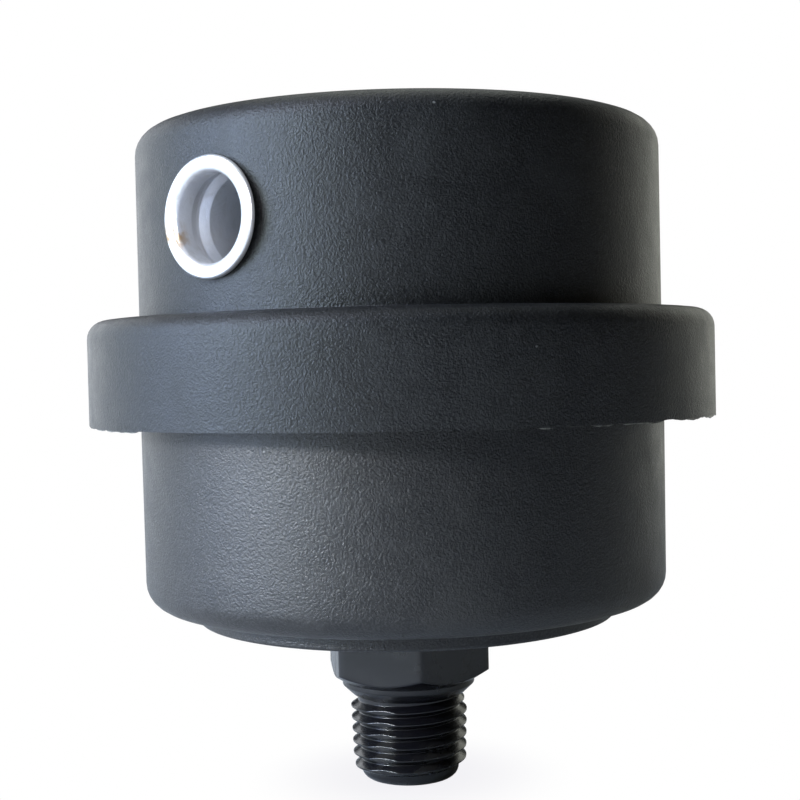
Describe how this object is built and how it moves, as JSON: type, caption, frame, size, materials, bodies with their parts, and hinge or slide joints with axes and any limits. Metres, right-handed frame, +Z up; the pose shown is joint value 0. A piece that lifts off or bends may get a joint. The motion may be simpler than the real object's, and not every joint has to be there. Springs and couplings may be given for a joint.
{
  "type": "pneumatic muffler",
  "caption": "Compressor intake muffler: two-part moulded housing, steel intake tube in the side, pleated filter cartridge inside and a taper-threaded outlet stud with a wrench hexagon below.",
  "frame": {"origin": "centre of the outlet stud's end face, on the housing's axis", "axes": "+Z up along the housing's axis from the stud to the cover's roof, -Y out of the intake tube"},
  "size_m": [0.07, 0.07, 0.0734],
  "materials": {
    "black_moulding": "satin",
    "seal_rubber": "satin",
    "zinc_plated_steel": "satin",
    "grey_foam": "matte",
    "grey_moulding": "matte",
    "sponge_rubber": "matte",
    "end_cap_plastisol": "satin",
    "galvanised_mesh": "satin",
    "filter_paper": "matte",
    "tinned_steel": "satin"
  },
  "bodies": {
    "base": {"base_shell": "black_moulding"},
    "seal": {"housing_seal_ring": "seal_rubber"},
    "cover": {"cover_shell": "black_moulding", "intake_tube": "zinc_plated_steel", "foam_liner": "grey_foam", "roof_foam": "grey_foam"},
    "baffle": {"baffle_plate": "grey_moulding", "hold_down_ring": "sponge_rubber"},
    "cartridge": {"top_end_cap": "end_cap_plastisol", "mesh_sleeve": "galvanised_mesh", "pleated_paper": "filter_paper", "pleat_seam_clip": "tinned_steel", "perforated_core": "tinned_steel", "bottom_end_cap": "end_cap_plastisol", "seat_washer": "seal_rubber"}
  },
  "joints": [
    {"name": "cover_turn", "type": "hinge", "parent": "base", "child": "seal", "pos_m": [0, 0, 0.0479], "axis": [0, 0, 1], "continuous": true},
    {"name": "cover_lift", "type": "slide", "parent": "seal", "child": "cover", "axis": [0, 0, 1], "range_m": [0, 0.1]},
    {"name": "baffle_lift", "type": "slide", "parent": "base", "child": "baffle", "axis": [0, 0, 1], "range_m": [0, 0.06]},
    {"name": "cartridge_lift", "type": "slide", "parent": "base", "child": "cartridge", "axis": [0, 0, 1], "range_m": [0, 0.03]}
  ],
  "couplings": [
    {"joint": "baffle_lift", "follows": "cover_lift", "ratio": 0.6},
    {"joint": "cartridge_lift", "follows": "cover_lift", "ratio": 0.3}
  ]
}
